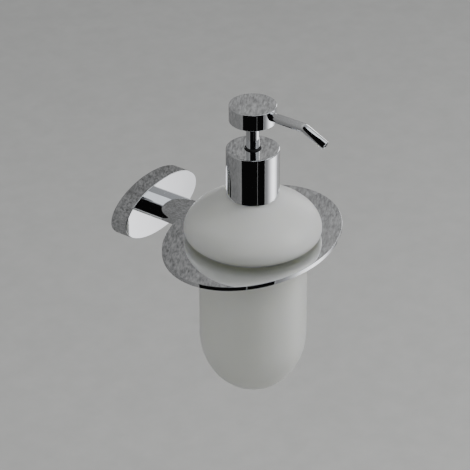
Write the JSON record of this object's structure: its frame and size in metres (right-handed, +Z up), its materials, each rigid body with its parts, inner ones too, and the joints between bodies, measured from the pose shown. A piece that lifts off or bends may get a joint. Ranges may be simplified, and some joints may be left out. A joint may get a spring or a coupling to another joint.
{
  "type": "wall mounted soap dispenser",
  "caption": "Wall mounted soap dispenser: frosted glass pump bottle hanging in an oval chrome ring on an arm from an oval wall rosette.",
  "frame": {"origin": "centre of the rosette's back face, on the wall", "axes": "+Z up, the wall is the plane Y = 0 and the object stands out along -Y, X along the wall"},
  "size_m": [0.132, 0.137, 0.2022],
  "materials": {
    "chrome": "bright polished chrome plate",
    "steel": "plain stainless steel",
    "frosted_glass": "satin etched, translucent",
    "clear_plastic": "natural nylon",
    "white_plastic": "moulded polypropylene",
    "black_plastic": "moulded black plastic",
    "tube_plastic": "extruded polyethylene tube",
    "gasket_rubber": "soft grey gasket"
  },
  "bodies": {
    "holder": {"wall_plate": "steel", "rosette": "chrome", "rosette_grub_screw": "steel", "arm": "chrome", "arm_screws": "steel", "ring_plate": "chrome", "ring_screws": "steel", "ring_liner": "clear_plastic"},
    "bottle": {"bottle": "frosted_glass"},
    "pump": {"pump_housing": "white_plastic", "guide_bush": "black_plastic", "dip_tube": "tube_plastic", "neck_gasket": "gasket_rubber"},
    "closure": {"closure_cap": "chrome", "closure_collar": "white_plastic"},
    "plunger": {"piston_stem": "white_plastic", "piston": "white_plastic", "spring": "steel"},
    "head": {"stem_sleeve": "chrome", "head_core": "black_plastic", "head_shell": "chrome", "spout_tube": "chrome"},
    "inlet_valve": {"inlet_ball": "steel"},
    "outlet_valve": {"outlet_ball": "steel"}
  },
  "joints": [
    {"name": "bottle_lift", "type": "slide", "parent": "holder", "child": "bottle", "axis": [0, 0, 1], "range_m": [0, 0.115]},
    {"name": "pump_lift", "type": "slide", "parent": "bottle", "child": "pump", "axis": [0, 0, 1], "range_m": [0, 0.152]},
    {"name": "closure_turn", "type": "hinge", "parent": "pump", "child": "closure", "pos_m": [0, -0.083, 0.045], "axis": [0, 0, 1], "range_deg": [0, 540]},
    {"name": "pump_press", "type": "slide", "parent": "pump", "child": "plunger", "axis": [0, 0, -1], "range_m": [0, 0.014], "stiffness_N_per_m": 600, "springref_m": -0.008, "deforming": ["spring"]},
    {"name": "head_swivel", "type": "hinge", "parent": "plunger", "child": "head", "pos_m": [0, -0.083, 0.088], "axis": [0, 0, 1], "continuous": true},
    {"name": "inlet_ball_lift", "type": "slide", "parent": "pump", "child": "inlet_valve", "axis": [0, 0, 1], "range_m": [0, 0.0018]},
    {"name": "outlet_ball_lift", "type": "slide", "parent": "plunger", "child": "outlet_valve", "axis": [0, 0, 1], "range_m": [0, 0.0018]}
  ]
}
